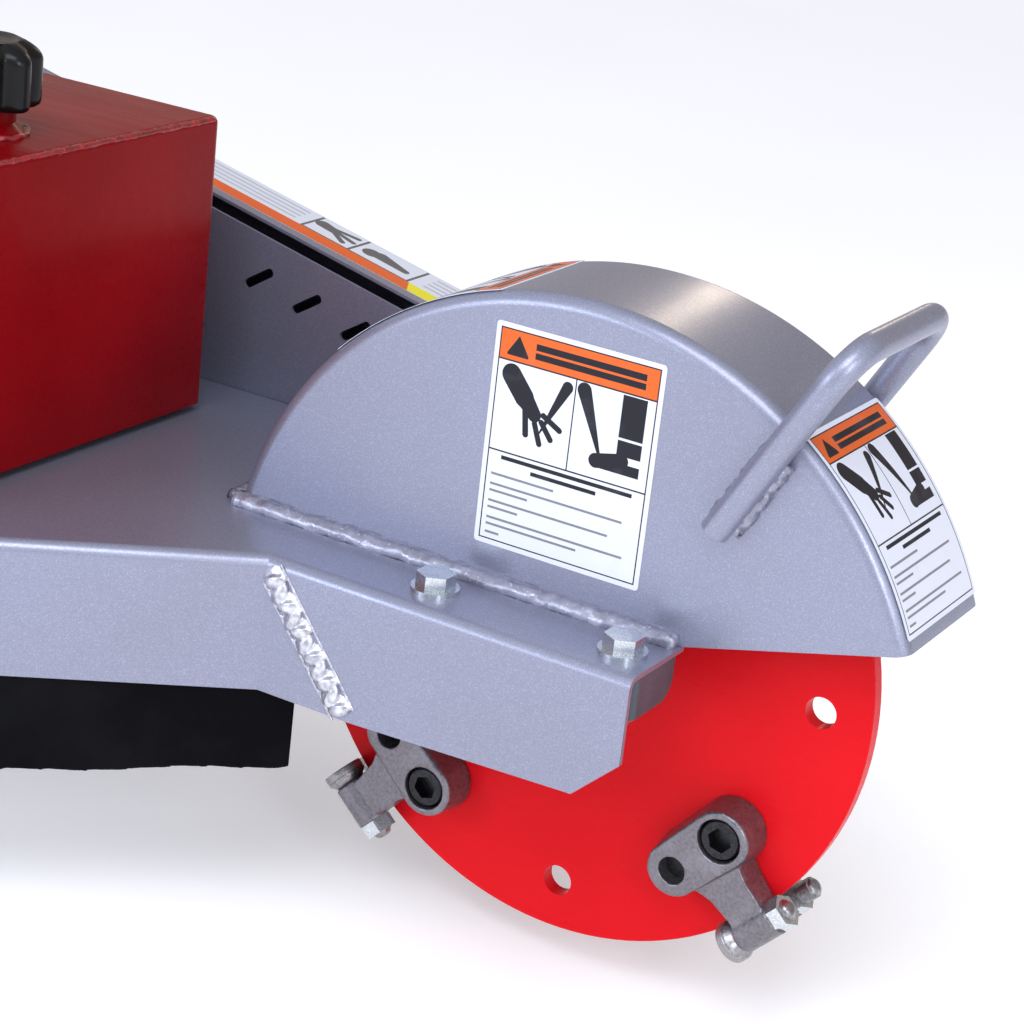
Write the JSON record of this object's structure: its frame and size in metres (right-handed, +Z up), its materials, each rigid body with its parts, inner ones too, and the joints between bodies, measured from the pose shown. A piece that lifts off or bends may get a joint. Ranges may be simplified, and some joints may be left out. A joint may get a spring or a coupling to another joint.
{
  "type": "stump grinder cutting head",
  "caption": "Front deck of a walk-behind stump grinder: guarded red cutter wheel with pocketed carbide teeth, belt drive and guard, lifting handle and welded fuel tank.",
  "frame": {"origin": "middle of the four frame bolts, on the deck plate's underside", "axes": "+X forward towards the cutter wheel, +Y towards the belt guard, +Z up out of the deck"},
  "size_m": [0.982, 0.4225, 0.4527],
  "materials": {
    "silver_paint": "silver-grey metallic powder coat",
    "wheel_red": "gloss red paint",
    "tank_red": "glossy deep red paint",
    "cast_grey": "as cast, oiled",
    "housing_grey": "painted casting",
    "black_oxide": "black oxide",
    "zinc_plate": "clear zinc plating",
    "machined_steel": "turned and ground",
    "bearing_steel": "polished",
    "carbide": "sintered and ground",
    "bare_weld": "rippled bead, light silver",
    "flap_rubber": "matt black",
    "belt_rubber": "cloth-wrapped",
    "cap_plastic": "moulded",
    "valve_brass": "cast and turned"
  },
  "bodies": {
    "frame": {"back_plate_bolts": "zinc_plate", "bearing_balls": "bearing_steel", "bearing_bolts": "zinc_plate", "bearing_nuts": "zinc_plate", "bearing_outer_rings": "bearing_steel", "bearing_seals": "belt_rubber", "bearing_snap_rings": "black_oxide", "bearing_washers": "zinc_plate", "belt_guard_back_plate": "silver_paint", "belt_guard_cover": "silver_paint", "belt_guard_screws": "zinc_plate", "belt_guard_standoffs": "zinc_plate", "deck_flanges": "silver_paint", "deck_plate": "silver_paint", "far_bearing_housing": "housing_grey", "filler_neck": "tank_red", "flange_weld_bead": "bare_weld", "flap_clamp_strip": "zinc_plate", "flap_studs": "zinc_plate", "fuel_tank_lid": "tank_red", "fuel_tank_shell": "tank_red", "fuel_valve_body": "valve_brass", "guard_far_plate": "silver_paint", "guard_handle": "silver_paint", "guard_near_plate": "silver_paint", "guard_rim_band": "silver_paint", "guard_weld_beads": "silver_paint", "inner_belt": "belt_rubber", "near_bearing_housing": "housing_grey", "outer_belt": "belt_rubber", "side_flap": "flap_rubber", "tank_bolts": "zinc_plate", "tank_feet": "tank_red"},
    "cutter_wheel": {"cutter_disc": "wheel_red", "wheel_hub": "machined_steel", "hub_clamp_plate": "machined_steel", "hub_bolts": "zinc_plate", "hub_nuts": "zinc_plate", "cutter_shaft": "machined_steel", "hub_key": "machined_steel", "pulley_key": "machined_steel", "pocket_screws": "black_oxide", "cutter_teeth": "carbide", "tooth_nuts": "zinc_plate", "bearing_inner_rings": "bearing_steel", "driven_pulley": "cast_grey", "shaft_set_screws": "black_oxide", "tooth_pocket_1_near": "cast_grey", "tooth_pocket_1_far": "cast_grey", "tooth_pocket_2_near": "cast_grey", "tooth_pocket_2_far": "cast_grey", "tooth_pocket_3_near": "cast_grey", "tooth_pocket_3_far": "cast_grey", "tooth_pocket_4_near": "cast_grey", "tooth_pocket_4_far": "cast_grey"},
    "engine_pulley": {"drive_pulley": "cast_grey", "drive_pulley_set_screw": "black_oxide"},
    "fuel_cap": {"fuel_cap": "cap_plastic"},
    "fuel_tap": {"fuel_valve_lever": "zinc_plate"}
  },
  "joints": [
    {"name": "cutter_spin", "type": "hinge", "parent": "frame", "child": "cutter_wheel", "pos_m": [0.64, 0.05, -0.03006], "axis": [0, 1, 0], "continuous": true},
    {"name": "engine_pulley_spin", "type": "hinge", "parent": "frame", "child": "engine_pulley", "pos_m": [0, 0.21, 0.109], "axis": [0, 1, 0], "continuous": true},
    {"name": "fuel_cap_turn", "type": "hinge", "parent": "frame", "child": "fuel_cap", "pos_m": [0.26, -0.03, 0.22594], "axis": [0, 0, 1], "range_deg": [0, 90]},
    {"name": "fuel_tap_turn", "type": "hinge", "parent": "frame", "child": "fuel_tap", "pos_m": [0.105, -0.07, 0.04194], "axis": [0, 0, 1], "range_deg": [0, 90]}
  ],
  "couplings": [
    {"joint": "engine_pulley_spin", "follows": "cutter_spin", "ratio": 1.1842}
  ]
}
